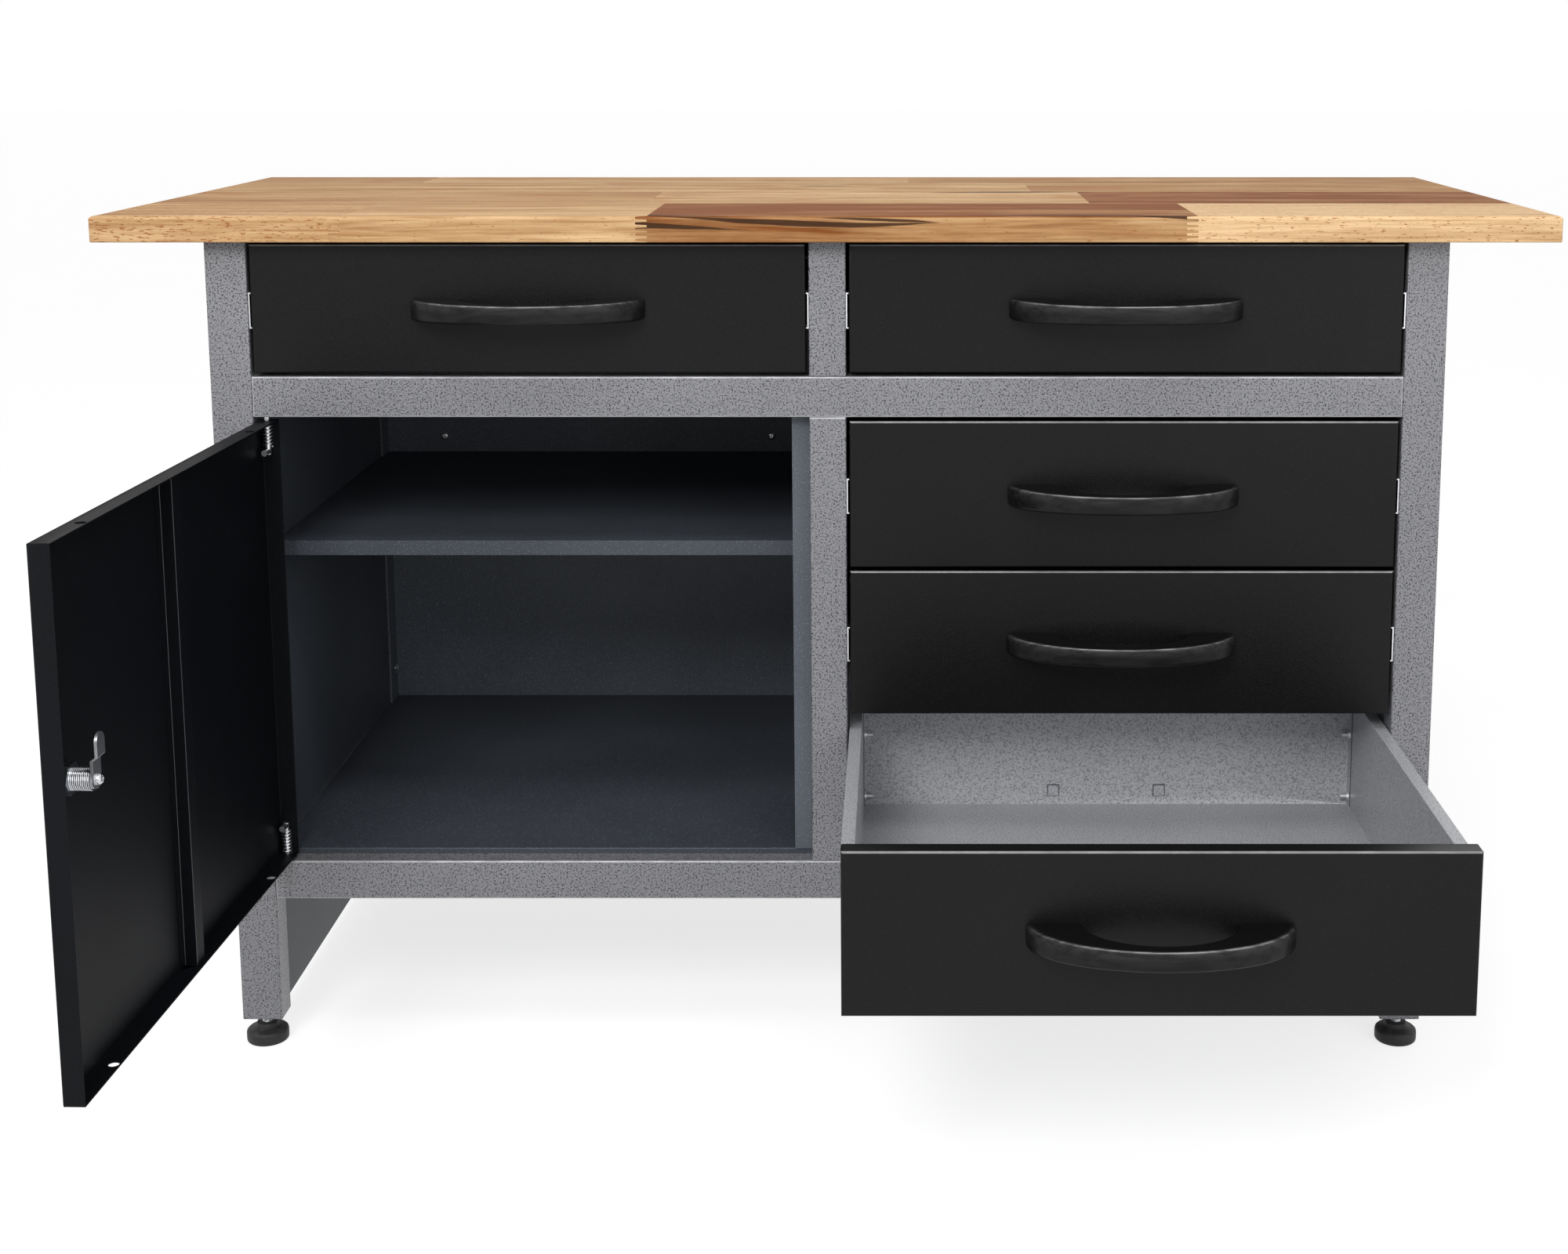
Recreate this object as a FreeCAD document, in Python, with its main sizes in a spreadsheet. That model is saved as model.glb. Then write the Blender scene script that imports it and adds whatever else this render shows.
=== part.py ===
"""Workbench with a beech top, five drawers and a cupboard, in folded sheet steel.

Millimetres. X runs to the right, Y to the back, Z up. The origin is on the floor, in the middle of
the bench as it stands in the photograph: door swung open, lowest drawer pulled out.
"""
import FreeCAD, Part
import os
import re

SIZES = {
    # Overall
    "bench_height": 850,
    "top_thickness": 25,
    "top_rounding": 4,
    "front_overhang": 25,
    "back_overhang": 30,
    "side_overhang": 100,
    "frame_width": 1200,
    "frame_depth": 545,
    # Legs, rails and posts
    "frame_sheet": 1.5,
    "bend_rounding": 2,
    "leg_width": 40,
    "leg_return": 32,
    "leg_bottom": 28,
    "leg_plate": 3,
    "rail_height": 40,
    "rail_depth": 30,
    "upper_bay_height": 133,
    "bottom_rail_bottom": 158,
    "post_width": 36,
    "post_return": 19,
    # Panels
    "panel_sheet": 1,
    "panel_lap": 20,
    "panel_clearance": 2,
    "side_panel_bottom": 40,
    "panel_flange": 15,
    "back_wing": 33,
    "board_clearance": 0.3,
    "top_flange": 30,
    "strike_width": 18,
    "strike_gap": 1.5,
    "floor_rise": 6,
    "shelf_drop": 137,
    "shelf_lip": 15,
    "shelf_setback": 60,
    # Fronts and door
    "front_gap": 4,
    "front_side_gap": 3,
    "front_thickness": 18,
    "front_sheet": 1.2,
    # Drawers
    "tray_sheet": 1,
    "tray_back_gap": 57,
    "tray_lift": 10,
    "tray_drop": 14,
    "tray_flange": 11,
    "back_drop": 4,
    "back_flange": 12,
    "emboss_side": 11,
    "emboss_rise": 2,
    "emboss_spacing": 112,
    "pulled_short": 8,
    # Runners
    "runner_height": 35,
    "runner_space": 13,
    "runner_sheet": 1.2,
    "runner_back_gap": 74,
    "runner_overlap": 80,
    "runner_setback": 21,
    "outer_lip": 9,
    "inner_lip": 9,
    "inner_height": 24.4,
    "cage_length": 72,
    "cage_margin": 4,
    "cage_sheet": 0.8,
    "cage_offset": 2,
    "cage_arm": 6,
    "cage_height": 29.3,
    "ball_size": 3.4,
    "ball_pitch": 12,
    # Handles
    "handle_length": 226,
    "handle_reach": 57,
    "handle_height": 21,
    "handle_grip": 14,
    "handle_opening": 130,
    "handle_rounding": 3,
    # Door, pins and lock
    "hinge_gap": 5,
    "lock_gap": 3,
    "pin_inset": 6,
    "pin_depth": 8,
    "pin_size": 6,
    "pin_fit": 0.05,
    "pin_reach": 10,
    "pin_inside": 34,
    "pin_hook": 12,
    "door_open_degrees": 92,
    "stiffener_width": 38,
    "stiffener_height": 12,
    "stiffener_foot": 10,
    "flange_hole": 9,
    "flange_hole_inset": 70,
    "lock_inset": 42,
    "lock_drop": 196,
    "lock_size": 18,
    "lock_head": 23,
    "lock_head_rise": 3,
    "lock_head_rounding": 0.8,
    "lock_length": 22,
    "plug_size": 13,
    "plug_fit": 0.05,
    "key_slot": 1.6,
    "key_slot_length": 8,
    "key_slot_depth": 6,
    "nut_flats": 24,
    "nut_thickness": 5,
    "cam_width": 15,
    "cam_reach": 38,
    "cam_sheet": 2.5,
    "cam_joggle": 4,
    "cam_screw_size": 9,
    "cam_screw_rise": 4,
    # Feet
    "pad_size": 42,
    "pad_height": 20,
    "pad_chamfer": 2,
    "stud_size": 10,
    "stud_top": 60,
    "stud_fit": 0.05,
    # Screws
    "screw_head": 9,
    "screw_head_rise": 2.2,
    "screw_shank": 4,
    "screw_length": 8,
    "wood_screw_bite": 15,
    "screw_inset": 10,
    "shelf_screw_inset": 70,
    "overrun": 1,
}

BALLS = 5
BACK_SCREWS = 4

doc = FreeCAD.newDocument("workbench")
sheet = doc.addObject("Spreadsheet::Sheet", "sizes")
for row, (name, number) in enumerate(SIZES.items(), start=1):
    sheet.set(f"A{row}", str(number))
    sheet.setAlias(f"A{row}", name)
doc.recompute()

X_AXIS = FreeCAD.Vector(1, 0, 0)
Y_AXIS = FreeCAD.Vector(0, 1, 0)
Z_AXIS = FreeCAD.Vector(0, 0, 1)
UPRIGHT = FreeCAD.Rotation()
TO_BACK = FreeCAD.Rotation(X_AXIS, -90)
TO_RIGHT = FreeCAD.Rotation(Y_AXIS, 90)
NEAR = 1e-4
WORD = re.compile(r"[a-z_]+")
NODES = {}


def formula(text):
    """Points each size named in a formula at its cell."""
    return WORD.sub(lambda word: f"sizes.{word[0]}" if word[0] in SIZES else word[0], str(text))


def value(name):
    """A size as a plain number, for the shapes that no formula can bind."""
    return float(sheet.get(name))


def place(thing, x, y, z):
    """Binds where a thing stands."""
    thing.setExpression("Placement.Base.x", formula(x))
    thing.setExpression("Placement.Base.y", formula(y))
    thing.setExpression("Placement.Base.z", formula(z))
    return thing


def box(x, y, z):
    """A block between two formulas on each axis."""
    block = doc.addObject("Part::Box", "block")
    for side, (low, high) in zip(("Length", "Width", "Height"), (x, y, z)):
        block.setExpression(side, formula(f"({high}) - ({low})"))
    return place(block, x[0], y[0], z[0])


def rod(x, y, z, size, length, turn=UPRIGHT):
    """A round bar that starts at a point and runs up, back or to the right."""
    bar = doc.addObject("Part::Cylinder", "bar")
    bar.setExpression("Radius", formula(f"({size}) / 2"))
    bar.setExpression("Height", formula(length))
    bar.Placement = FreeCAD.Placement(FreeCAD.Vector(), turn)
    return place(bar, x, y, z)


def join(*things):
    """Pieces made as one."""
    whole = doc.addObject("Part::MultiFuse", "joined")
    whole.Shapes = list(things)
    whole.Refine = True
    return whole


def group(*things):
    """Separate solids that share one name."""
    whole = doc.addObject("Part::Compound", "group")
    whole.Links = list(things)
    return whole


def cut(base, *tools):
    """A piece with holes or hollows."""
    left = doc.addObject("Part::Cut", "cut")
    left.Base = base
    left.Tool = tools[0] if len(tools) == 1 else group(*tools)
    return left


def rounded(base, size, *faces):
    """Rounds the edges of the faces of a block that look along the given signed axes."""
    doc.recompute()
    bounds = base.Shape.BoundBox
    planes = {"-x": ("x", bounds.XMin), "+x": ("x", bounds.XMax), "-y": ("y", bounds.YMin),
              "+y": ("y", bounds.YMax), "-z": ("z", bounds.ZMin), "+z": ("z", bounds.ZMax)}
    picked = set()
    for axis, level in (planes[face] for face in faces):
        for number, edge in enumerate(base.Shape.Edges, start=1):
            if all(abs(getattr(corner.Point, axis) - level) < NEAR for corner in edge.Vertexes):
                picked.add(number)
    soft = doc.addObject("Part::Fillet", "rounded")
    soft.Base = base
    soft.Edges = [(number, value(size), value(size)) for number in sorted(picked)]
    return soft


def node(label, thing):
    """Names a finished sub-part."""
    thing.Label = label
    NODES[label] = thing
    return thing


def screw(seat, axis, way, bite):
    """A pan head screw: its head lies on a seat, and its shank bites the given way along an axis."""
    head_off, shank_off = ("-screw_head_rise", "0") if way > 0 else ("0", f"-({bite})")
    turn = {"x": TO_RIGHT, "y": TO_BACK, "z": UPRIGHT}[axis]

    def shifted(off):
        return [f"{spot} + ({off})" if name == axis else spot for name, spot in zip("xyz", seat)]

    head = rod(*shifted(head_off), "screw_head", "screw_head_rise", turn)
    return join(head, rod(*shifted(shank_off), "screw_shank", bite, turn))


# Lines that the whole bench hangs on. The open door reaches furthest forward and the top furthest back.
swing = "(door_open_degrees * 1 deg)"
top_width = "(frame_width + 2 * side_overhang)"
top_depth = "(front_overhang + frame_depth + back_overhang)"
bay = "((frame_width - 2 * leg_width - post_width) / 2)"
door_width = f"({bay} - hinge_gap - lock_gap)"
door_far = f"({door_width} - pin_inset)"
door_back = "(front_thickness - pin_depth)"
corner_reach = f"max(-{door_back} * cos{swing}, pin_depth * cos{swing})"
door_reach = f"({door_far} * sin{swing} + {corner_reach} - pin_depth)"
front = f"(({door_reach} + front_overhang - {top_depth}) / 2)"
back = f"({front} + frame_depth)"
frame_half = "(frame_width / 2)"
bay_edge = "(frame_width / 2 - leg_width)"
post_half = "(post_width / 2)"
bay_middle = f"({post_half} + {bay} / 2)"
top_underside = "(bench_height - top_thickness)"
middle_rail_top = f"({top_underside} - upper_bay_height)"
middle_rail_bottom = f"({middle_rail_top} - rail_height)"
bottom_rail_top = "(bottom_rail_bottom + rail_height)"
lower_bay = f"({middle_rail_bottom} - {bottom_rail_top})"
upper_front = "(upper_bay_height - 2 * front_gap)"
lower_front = f"(({lower_bay} - 4 * front_gap) / 3)"
front_width = f"({bay} - 2 * front_side_gap)"
runner_length = "(frame_depth - runner_setback - runner_back_gap)"
travel = f"({runner_length} - runner_overlap)"
beyond = "overrun"

# The glued beech top lies on the legs and on the flanges of the panels.
top_block = box(
    (f"-{top_width} / 2", f"{top_width} / 2"),
    (f"{front} - front_overhang", f"{back} + back_overhang"),
    (top_underside, "bench_height"),
)
node("worktop", rounded(top_block, "top_rounding", "+z"))


def leg(side, end):
    """A channel folded from sheet, open towards the bench's middle, with a plate for the foot's thread.

    side is -1 on the left and 1 on the right, end is -1 in front and 1 behind.
    """
    outer, inner = f"{side} * {frame_half}", f"{side} * {bay_edge}"
    x = (outer, inner) if side < 0 else (inner, outer)
    face = front if end < 0 else back
    deep = f"{face} - {end} * leg_return"
    y = (face, deep) if end < 0 else (deep, face)
    solid = rounded(box(x, y, ("leg_bottom", top_underside)), "bend_rounding", "-y" if end < 0 else "+y")
    hollow_y = (f"{y[0]} + frame_sheet", f"{y[1]} + {beyond}")
    if end > 0:
        hollow_y = (f"{y[0]} - {beyond}", f"{y[1]} - frame_sheet")
    hollow_x = (f"{x[0]} + frame_sheet", f"{x[1]} - frame_sheet")
    hollow = box(hollow_x, hollow_y, ("leg_bottom + leg_plate", f"{top_underside} + {beyond}"))
    foot_x, foot_y = foot_place(side, end)
    thread_size, thread_run = "stud_size + 2 * stud_fit", "leg_plate + 2 * overrun"
    thread = rod(foot_x, foot_y, f"leg_bottom - {beyond}", thread_size, thread_run)
    return cut(solid, hollow, thread)


def foot_place(side, end):
    """The middle of a leg's plate."""
    face = front if end < 0 else back
    return f"{side} * ({frame_half} - leg_width / 2)", f"{face} - {end} * (leg_return + frame_sheet) / 2"


def foot(side, end):
    """A levelling foot: a moulded pad on a threaded stud."""
    x, y = foot_place(side, end)
    pad = rod(x, y, "0", "pad_size", "pad_height")
    pad = rounded(pad, "pad_chamfer", "+z")
    stud = rod(x, y, "pad_height", "stud_size", "stud_top - pad_height")
    return group(pad, stud)


SIDES = {"left": -1, "right": 1}
ENDS = {"front": -1, "rear": 1}
for side_name, side in SIDES.items():
    for end_name, end in ENDS.items():
        node(f"{side_name}_{end_name}_leg", leg(side, end))
        node(f"{side_name}_{end_name}_foot", foot(side, end))


def rail(bottom):
    """A channel between the front legs, open to the back, with a hole for the door's pivot pin."""
    x = (f"-{bay_edge}", bay_edge)
    y = (front, f"{front} + rail_depth")
    z = (bottom, f"{bottom} + rail_height")
    solid = rounded(box(x, y, z), "bend_rounding", "-y")
    hollow = box(
        (f"{x[0]} - {beyond}", f"{x[1]} + {beyond}"),
        (f"{front} + frame_sheet", f"{front} + rail_depth + {beyond}"),
        (f"{bottom} + frame_sheet", f"{bottom} + rail_height - frame_sheet"),
    )
    return solid, hollow


hinge_x = f"(-{bay_edge} + hinge_gap + pin_inset)"
hinge_y = f"({front} + pin_depth)"
pin_hole = "pin_size + 2 * pin_fit"
hole_run = "frame_sheet + 2 * overrun"
solid, hollow = rail(middle_rail_bottom)
upper_hole = rod(hinge_x, hinge_y, f"{middle_rail_bottom} - {beyond}", pin_hole, hole_run)
node("middle_rail", cut(solid, hollow, upper_hole))
solid, hollow = rail("bottom_rail_bottom")
lower_hole = rod(hinge_x, hinge_y, f"{bottom_rail_top} - frame_sheet - {beyond}", pin_hole, hole_run)
node("bottom_rail", cut(solid, hollow, lower_hole))

# The upper post is one sheet folded round the space between the two upper drawers.
post_x = (f"-{post_half}", post_half)
post_hollow_x = (f"-{post_half} + frame_sheet", f"{post_half} - frame_sheet")
wall_back = f"({back} - panel_sheet)"
post_shell = rounded(box(post_x, (front, wall_back), (middle_rail_top, top_underside)), "bend_rounding", "-y")
post_hollow = box(
    post_hollow_x,
    (f"{front} + frame_sheet", f"{wall_back} + {beyond}"),
    (f"{middle_rail_top} - {beyond}", f"{top_underside} + {beyond}"),
)
node("upper_post", cut(post_shell, post_hollow))

# The lower post is a short channel, and the partition's two walls stand behind its returns.
post_z = (bottom_rail_top, middle_rail_bottom)
open_z = (f"{bottom_rail_top} - {beyond}", f"{middle_rail_bottom} + {beyond}")
post_shell = rounded(box(post_x, (front, f"{front} + post_return"), post_z), "bend_rounding", "-y")
post_hollow = box(post_hollow_x, (f"{front} + frame_sheet", f"{front} + post_return + {beyond}"), open_z)
node("lower_post", cut(post_shell, post_hollow))

strike_y = f"({front} + front_thickness + strike_gap)"
partition_shell = box(post_x, (strike_y, wall_back), post_z)
partition_hollow = box(
    (f"-{post_half} + panel_sheet", f"{post_half} - panel_sheet"),
    (f"{strike_y} + panel_sheet", f"{wall_back} + {beyond}"),
    open_z,
)
strike = box(
    (f"-{post_half} - strike_width", f"-{post_half} + panel_sheet"),
    (strike_y, f"{strike_y} + panel_sheet"),
    (f"{bottom_rail_top} + floor_rise", middle_rail_bottom),
)
node("partition", join(cut(partition_shell, partition_hollow), strike))


def side_panel(side):
    """A wall lapped behind the inner returns of two legs, flanged outwards above and below."""
    near = f"{side} * ({bay_edge} + frame_sheet)"
    far = f"{side} * ({bay_edge} + frame_sheet + panel_sheet)"
    edge = f"{side} * ({bay_edge} + frame_sheet + top_flange)"
    wall_x = (near, far) if side > 0 else (far, near)
    flange_x = (near, edge) if side > 0 else (edge, near)
    y = (f"{front} + leg_return - panel_lap", f"{back} - leg_return + panel_lap")
    flange_y = (f"{front} + leg_return + panel_clearance", f"{back} - leg_return - panel_clearance")
    wall = box(wall_x, y, ("side_panel_bottom", top_underside))
    head = box(flange_x, flange_y, (f"{top_underside} - panel_sheet", top_underside))
    sole = box(flange_x, flange_y, ("side_panel_bottom", "side_panel_bottom + panel_sheet"))
    return join(wall, head, sole)


for side_name, side in SIDES.items():
    node(f"{side_name}_side_panel", side_panel(side))

# The back is a tray of sheet between the rear legs, with a flange under the top.
back_x = (f"-{bay_edge}", bay_edge)
back_z = ("bottom_rail_bottom", top_underside)
back_shell = box(back_x, (wall_back, back), back_z)
back_head = box(back_x, (f"{back} - top_flange", back), (f"{top_underside} - panel_sheet", top_underside))
sole_z = ("bottom_rail_bottom", "bottom_rail_bottom + panel_sheet")
back_sole = box(back_x, (f"{back} - panel_flange", back), sole_z)
head_notch = box(
    (f"-{post_half}", post_half),
    (f"{back} - top_flange - {beyond}", wall_back),
    (f"{top_underside} - panel_sheet - {beyond}", f"{top_underside} + {beyond}"),
)
back_wings = [
    box(
        (f"-{bay_edge}", f"-{bay_edge} + panel_sheet") if side < 0
        else (f"{bay_edge} - panel_sheet", bay_edge),
        (f"{back} - back_wing", back),
        back_z,
    )
    for side in SIDES.values()
]
node("back_panel", join(back_shell, cut(back_head, head_notch), back_sole, *back_wings))


def shelf(top, lip, setback):
    """A cupboard board: a sheet with its front edge folded down, notched round the legs and the back's wing."""
    x = (f"-{bay_edge} + panel_sheet", f"-{post_half}")
    side_x = (f"-{bay_edge} - frame_sheet + board_clearance", x[0])
    past_leg = f"max(leg_return + panel_clearance, {setback})"
    side_y = (f"{front} + {past_leg}", f"{back} - back_wing - panel_clearance")
    start = f"({front} + {setback})"
    board = box(x, (start, wall_back), (f"{top} - panel_sheet", top))
    edge = box(x, (start, f"{start} + panel_sheet"), (f"{top} - {lip}", top))
    heel = box(x, (f"{wall_back} - panel_sheet", wall_back), (f"{top} - {lip}", top))
    side_edge = box(side_x, side_y, (f"{top} - panel_sheet", top))
    return join(board, edge, heel, side_edge)


floor_top = f"({bottom_rail_top} + floor_rise)"
corner_swing = f"sqrt(pin_inset * pin_inset + {door_back} * {door_back})"
floor_setback = f"(pin_depth + {corner_swing} + strike_gap)"
node("cupboard_floor", shelf(floor_top, "floor_rise", floor_setback))
shelf_top = f"({middle_rail_bottom} - shelf_drop)"
node("cupboard_shelf", shelf(shelf_top, "shelf_lip", "shelf_setback"))

# Runners: a channel on the cabinet, a smaller one on the drawer, and a cage of balls between them.
runner_start = f"({front} + runner_setback)"


def runner_section(side, web, lip, height, y, thickness):
    """A channel along Y. Its web and lips each span two distances from the bay's wall into the bay."""
    def across(span):
        ends = [f"{side} * ({bay} / 2 - ({distance}))" for distance in span]
        return ends if side < 0 else ends[::-1]

    half = f"({height} / 2)"
    return join(
        box(across(web), y, (f"-{half}", half)),
        box(across(lip), y, (f"{half} - {thickness}", half)),
        box(across(lip), y, (f"-{half}", f"-{half} + {thickness}")),
    )


def cage(side):
    """A strip that holds two rows of balls, half as far out as the drawer."""
    y = ("cage_margin", "cage_margin + cage_length")
    web = ("cage_offset", "cage_offset + cage_sheet")
    arm = ("cage_offset", "cage_offset + cage_arm")
    strip = runner_section(side, web, arm, "cage_height", y, "cage_sheet")
    balls = []
    for number in range(BALLS):
        for level in (-1, 1):
            ball = doc.addObject("Part::Sphere", "ball")
            ball.setExpression("Radius", formula("ball_size / 2"))
            x = f"{side} * ({bay} / 2 - cage_offset - cage_arm + ball_size / 2)"
            along = f"cage_margin + cage_length / 2 + {number - (BALLS - 1) / 2} * ball_pitch"
            balls.append(place(ball, x, along, f"{level} * (cage_height / 2 - cage_sheet / 2)"))
    return join(strip, *balls)


def handle_shape():
    """A bow between two half ellipses, thicker at its two feet, with softened edges."""
    length, reach, height = value("handle_length"), value("handle_reach"), value("handle_height")
    opening, grip, soft = value("handle_opening"), value("handle_grip"), value("handle_rounding")

    def half_oval(width, depth):
        """The half of an oval that stands out in front of a straight back."""
        side, tip = FreeCAD.Vector(width / 2, 0, 0), FreeCAD.Vector(0, -depth, 0)
        ends = (side, tip) if width / 2 >= depth else (tip, side)
        oval = Part.Ellipse(*ends, FreeCAD.Vector())
        whole = Part.Face(Part.Wire(oval.toShape()))
        behind = Part.makeBox(2 * width, 2 * depth, height, FreeCAD.Vector(-width, 0, 0))
        return whole.extrude(FreeCAD.Vector(0, 0, height)).cut(behind)

    outside = half_oval(length, reach)
    edges = [edge for edge in outside.Edges if min(corner.Y for corner in edge.Vertexes) > -NEAR
             and edge.Length > length and abs(edge.CenterOfMass.y) > soft]
    outside = outside.makeFillet(soft, edges)
    return outside.cut(half_oval(opening, reach - grip))


HANDLE = handle_shape()


def drawer(label, x, bottom, height, out):
    """One drawer, with its front's lower edge in the middle of a bay at a height, pulled out by a length."""
    start = f"({front} - ({out}))"
    wall = f"({bay} / 2 - runner_space)"
    floor = "tray_lift"
    rim = f"({height} - tray_drop)"
    length = ("front_thickness", "(frame_depth - tray_back_gap)")

    def seat(part_name, thing, lift="0", along=start):
        node(f"{label}_{part_name}", place(thing, x, along, f"{bottom} + {lift}"))

    # The front is a pan of sheet, open to the back.
    pan = rounded(
        box((f"-{front_width} / 2", f"{front_width} / 2"), ("0", "front_thickness"), ("0", height)),
        "bend_rounding", "-y",
    )
    pan_hollow = box(
        (f"-{front_width} / 2 + front_sheet", f"{front_width} / 2 - front_sheet"),
        ("front_sheet", f"front_thickness + {beyond}"),
        ("front_sheet", f"{height} - front_sheet"),
    )
    seat("front", cut(pan, pan_hollow))

    # The tray is folded from one sheet: floor, sides flanged outwards over the runners, and front wall.
    tray_shell = box((f"-{wall}", wall), length, (floor, rim))
    tray_hollow = box(
        (f"-{wall} + tray_sheet", f"{wall} - tray_sheet"),
        ("front_thickness + tray_sheet", f"{length[1]} + {beyond}"),
        (f"{floor} + tray_sheet", f"{rim} + {beyond}"),
    )
    rims = [
        box(
            (f"-{wall} - tray_flange", f"-{wall} + tray_sheet") if side < 0
            else (f"{wall} - tray_sheet", f"{wall} + tray_flange"),
            length,
            (f"{rim} - tray_sheet", rim),
        )
        for side in SIDES.values()
    ]
    seat("tray", join(cut(tray_shell, tray_hollow), *rims))

    # The back is a separate panel between the sides, flanged forwards, with two pressed squares.
    panel_x = (f"-{wall} + tray_sheet", f"{wall} - tray_sheet")
    panel_z = (f"{floor} + tray_sheet", f"{rim} - back_drop")
    panel = box(panel_x, (f"{length[1]} - tray_sheet", length[1]), panel_z)
    wings = [
        box(
            (f"-{wall} + tray_sheet", f"-{wall} + 2 * tray_sheet") if side < 0
            else (f"{wall} - 2 * tray_sheet", f"{wall} - tray_sheet"),
            (f"{length[1]} - back_flange", length[1]),
            panel_z,
        )
        for side in SIDES.values()
    ]
    squares = [
        box(
            (f"({side} * emboss_spacing - emboss_side) / 2", f"({side} * emboss_spacing + emboss_side) / 2"),
            (f"{length[1]} - tray_sheet - emboss_rise", f"{length[1]} - tray_sheet"),
            (f"{floor} + emboss_side", f"{floor} + 2 * emboss_side"),
        )
        for side in SIDES.values()
    ]
    seat("back", join(panel, *wings, *squares))

    # The moulded handle stands out from the middle of the front.
    grip = doc.addObject("Part::Feature", "handle")
    grip.Shape = HANDLE
    seat("handle", grip, f"({height} - handle_height) / 2")

    # The runner's drawer channels, and the cage that follows at half the travel.
    middle = f"(({height} - tray_drop - tray_lift) / 2 + tray_lift)"
    run = ("runner_setback", f"runner_setback + {runner_length}")
    inner_web = ("runner_space - runner_sheet", "runner_space")
    inner_lips = ("runner_space - inner_lip", "runner_space")
    inner = [
        runner_section(side, inner_web, inner_lips, "inner_height", run, "runner_sheet")
        for side in SIDES.values()
    ]
    seat("runners", group(*inner), middle)
    cage_start = f"{front} + runner_setback + ({travel} - ({out})) / 2"
    seat("ball_cages", group(*[cage(side) for side in SIDES.values()]), middle, cage_start)

    outer_web, outer_lips = ("0", "runner_sheet"), ("0", "outer_lip")
    outer_run = ("0", runner_length)
    outer = [
        runner_section(side, outer_web, outer_lips, "runner_height", outer_run, "runner_sheet")
        for side in SIDES.values()
    ]
    return [place(channel, x, runner_start, f"{bottom} + {middle}") for channel in outer]


upper_bottom = f"({middle_rail_top} + front_gap)"
DRAWERS = {
    "upper_left_drawer": (f"-{bay_middle}", upper_bottom, upper_front, "0"),
    "upper_right_drawer": (bay_middle, upper_bottom, upper_front, "0"),
}
for number, drawer_name in enumerate(("bottom_drawer", "middle_drawer", "third_drawer")):
    lower_bottom = f"({bottom_rail_top} + front_gap + {number} * ({lower_front} + front_gap))"
    out = f"{travel} - pulled_short" if number == 0 else "0"
    DRAWERS[drawer_name] = (bay_middle, lower_bottom, lower_front, out)
cabinet_runners = [channel for drawer_name, seat in DRAWERS.items() for channel in drawer(drawer_name, *seat)]
node("cabinet_runners", group(*cabinet_runners))

# The door is drawn shut about its pivot axis, and then swung open.
door_bottom = f"({bottom_rail_top} + front_gap)"
door_top = f"({middle_rail_bottom} - front_gap)"
door_x = ("-pin_inset", door_far)
door_y = ("-pin_depth", door_back)
OPENED = FreeCAD.Rotation(Z_AXIS, -value("door_open_degrees"))


def hang(label, thing):
    """Hangs a piece of the door on its pivot, opened."""
    thing.Placement = FreeCAD.Placement(FreeCAD.Vector(), OPENED)
    node(label, place(thing, hinge_x, hinge_y, "0"))


lock_x = f"({door_far} - lock_inset)"
lock_z = f"({door_top} - lock_drop)"
skin = "(-pin_depth)"
skin_inside = "(front_sheet - pin_depth)"
slab = rounded(box(door_x, door_y, (door_bottom, door_top)), "bend_rounding", "-y")
slab_hollow = box(
    ("-pin_inset + front_sheet", f"{door_far} - front_sheet"),
    (skin_inside, f"{door_back} + {beyond}"),
    (f"{door_bottom} + front_sheet", f"{door_top} - front_sheet"),
)
sheet_run = "front_sheet + 2 * overrun"
lock_hole = rod(lock_x, f"{skin} - {beyond}", lock_z, "lock_size", sheet_run, TO_BACK)
pin_bores = [
    rod("0", "0", f"{level} - {beyond}", "pin_size", sheet_run)
    for level in (door_bottom, f"{door_top} - front_sheet")
]
vents = [
    rod(x, f"({door_back} - front_sheet) / 2", f"{level} - {beyond}", "flange_hole", sheet_run)
    for level in (door_bottom, f"{door_top} - front_sheet")
    for x in ("flange_hole_inset - pin_inset", f"{door_far} - flange_hole_inset")
]
hang("door_panel", cut(slab, slab_hollow, lock_hole, *pin_bores, *vents))

# The stiffener is a hat section down the middle of the door.
hat_middle = f"(({door_far} - pin_inset) / 2)"
hat_z = (f"{door_bottom} + front_sheet", f"{door_top} - front_sheet")
hat_x = (f"{hat_middle} - stiffener_width / 2", f"{hat_middle} + stiffener_width / 2")
crown_x = (f"{hat_x[0]} + stiffener_foot", f"{hat_x[1]} - stiffener_foot")
hat_y = (skin_inside, f"{skin_inside} + stiffener_height")
hat = join(box(hat_x, (skin_inside, f"{skin_inside} + panel_sheet"), hat_z), box(crown_x, hat_y, hat_z))
hat_hollow = box(
    (f"{crown_x[0]} + panel_sheet", f"{crown_x[1]} - panel_sheet"),
    (f"{skin_inside} - {beyond}", f"{hat_y[1]} - panel_sheet"),
    (f"{hat_z[0]} - {beyond}", f"{hat_z[1]} + {beyond}"),
)
hang("door_stiffener", cut(hat, hat_hollow))

# The pivot pins are bent rods pressed through the door's flanges into the two rails.
pins = []
for level, way in ((door_top, 1), (door_bottom, -1)):
    inside = f"({level} - {way} * pin_inside)"
    tip = f"({level} + {way} * (front_gap + pin_reach))"
    low, high = (inside, tip) if way > 0 else (tip, inside)
    shaft = rod("0", "0", low, "pin_size", f"{high} - {low}")
    hook_z = f"{inside} + {way} * pin_size / 2"
    pins.append(join(shaft, rod("0", "0", hook_z, "pin_size", "pin_hook", TO_RIGHT)))
hang("hinge_pins", group(*pins))

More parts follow.
